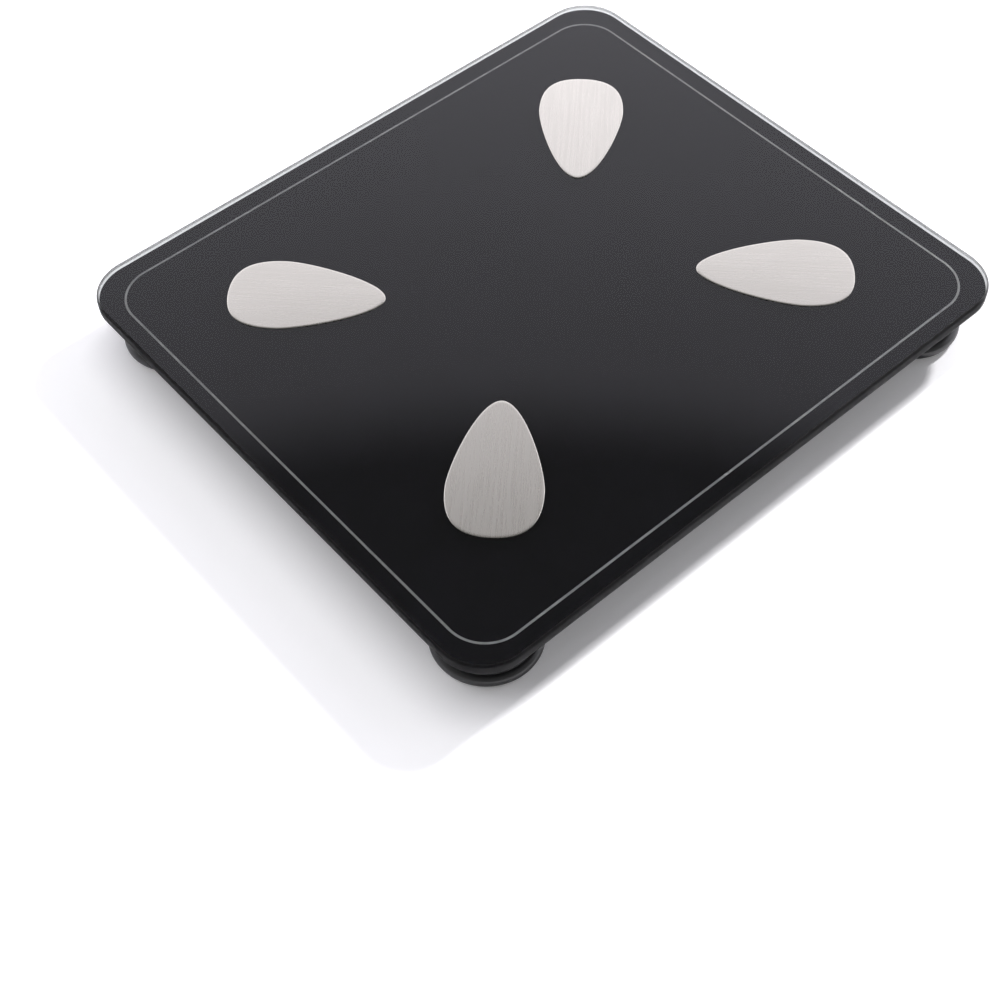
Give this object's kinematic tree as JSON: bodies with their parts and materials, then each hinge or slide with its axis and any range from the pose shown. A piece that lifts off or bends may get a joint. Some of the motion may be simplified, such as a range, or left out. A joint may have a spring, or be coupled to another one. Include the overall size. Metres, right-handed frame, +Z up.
{
  "type": "digital bathroom scale",
  "caption": "Flat body-fat bathroom scale: black-backed glass platform with teardrop steel electrodes on a moulded base with round load-cell feet, battery door and unit button.",
  "frame": {"origin": "on the floor, under the middle of the platform", "axes": "+X along the long side, +Y along the short side towards the display, +Z up"},
  "size_m": [0.303, 0.267, 0.0305],
  "materials": {
    "platform_glass": "clear polished tempered glass with arrised edges",
    "black_print": "opaque black enamel film under the glass",
    "silver_print": "silver ink",
    "electrode_steel": "fine satin brushed stainless steel",
    "plated_steel": "zinc-plated steel",
    "cell_steel": "nickel-plated spring steel",
    "housing_plastic": "fine-textured black moulded plastic",
    "holder_plastic": "natural white moulded plastic",
    "foot_plastic": "satin black moulded plastic",
    "pad_rubber": "matte black rubber",
    "glue": "silicone glue",
    "gauge_sealant": "white silicone sealant",
    "circuit_board": "green solder mask",
    "display_plastic": "grey face with clear digit windows",
    "foam": "closed-cell foam",
    "chip_epoxy": "moulded epoxy",
    "header_plastic": "ivory connector plastic",
    "button_plastic": "dark grey moulded plastic",
    "battery_can": "plain shrink sleeve over a steel can",
    "contact_metal": "nickel-plated spring strip",
    "lead_insulation": "thin insulated leads"
  },
  "bodies": {
    "platform": {"base_housing": "housing_plastic", "battery_1": "battery_can", "battery_2": "battery_can", "battery_3": "battery_can", "battery_leads": "lead_insulation", "black_film": "black_print", "board_screws": "plated_steel", "border_line": "silver_print", "cell_holder_front_left": "holder_plastic", "cell_holder_front_right": "holder_plastic", "cell_holder_rear_left": "holder_plastic", "cell_holder_rear_right": "holder_plastic", "contact_plates": "contact_metal", "contact_springs": "contact_metal", "control_chip": "chip_epoxy", "display_gasket": "foam", "display_module": "display_plastic", "electrode_front_left": "electrode_steel", "electrode_front_right": "electrode_steel", "electrode_leads": "lead_insulation", "electrode_nuts": "plated_steel", "electrode_rear_left": "electrode_steel", "electrode_rear_right": "electrode_steel", "electrode_terminals": "plated_steel", "gauge_patches": "gauge_sealant", "glass_platform": "platform_glass", "glue_bead": "glue", "lead_headers": "header_plastic", "load_cell_front_left": "cell_steel", "load_cell_front_right": "cell_steel", "load_cell_leads": "lead_insulation", "load_cell_rear_left": "cell_steel", "load_cell_rear_right": "cell_steel", "main_board": "circuit_board", "unit_switch": "chip_epoxy"},
    "foot_front_left": {"foot_front_left": "foot_plastic", "foot_pad_front_left": "pad_rubber"},
    "foot_front_right": {"foot_front_right": "foot_plastic", "foot_pad_front_right": "pad_rubber"},
    "foot_rear_left": {"foot_rear_left": "foot_plastic", "foot_pad_rear_left": "pad_rubber"},
    "foot_rear_right": {"foot_rear_right": "foot_plastic", "foot_pad_rear_right": "pad_rubber"},
    "door": {"battery_door": "housing_plastic"},
    "button": {"unit_button": "button_plastic"}
  },
  "joints": [
    {"name": "foot_play_front_left", "type": "slide", "parent": "platform", "child": "foot_front_left", "axis": [0, 0, -1], "range_m": [0, 0.0004]},
    {"name": "foot_play_front_right", "type": "slide", "parent": "platform", "child": "foot_front_right", "axis": [0, 0, -1], "range_m": [0, 0.0004]},
    {"name": "foot_play_rear_left", "type": "slide", "parent": "platform", "child": "foot_rear_left", "axis": [0, 0, -1], "range_m": [0, 0.0004]},
    {"name": "foot_play_rear_right", "type": "slide", "parent": "platform", "child": "foot_rear_right", "axis": [0, 0, -1], "range_m": [0, 0.0004]},
    {"name": "door_hinge", "type": "hinge", "parent": "platform", "child": "door", "pos_m": [0, -0.0135, 0.0095], "axis": [-1, 0, 0], "range_deg": [0, 95]},
    {"name": "button_press", "type": "slide", "parent": "platform", "child": "button", "axis": [0, 0, 1], "range_m": [0, 0.0005], "stiffness_N_per_m": 3000}
  ]
}
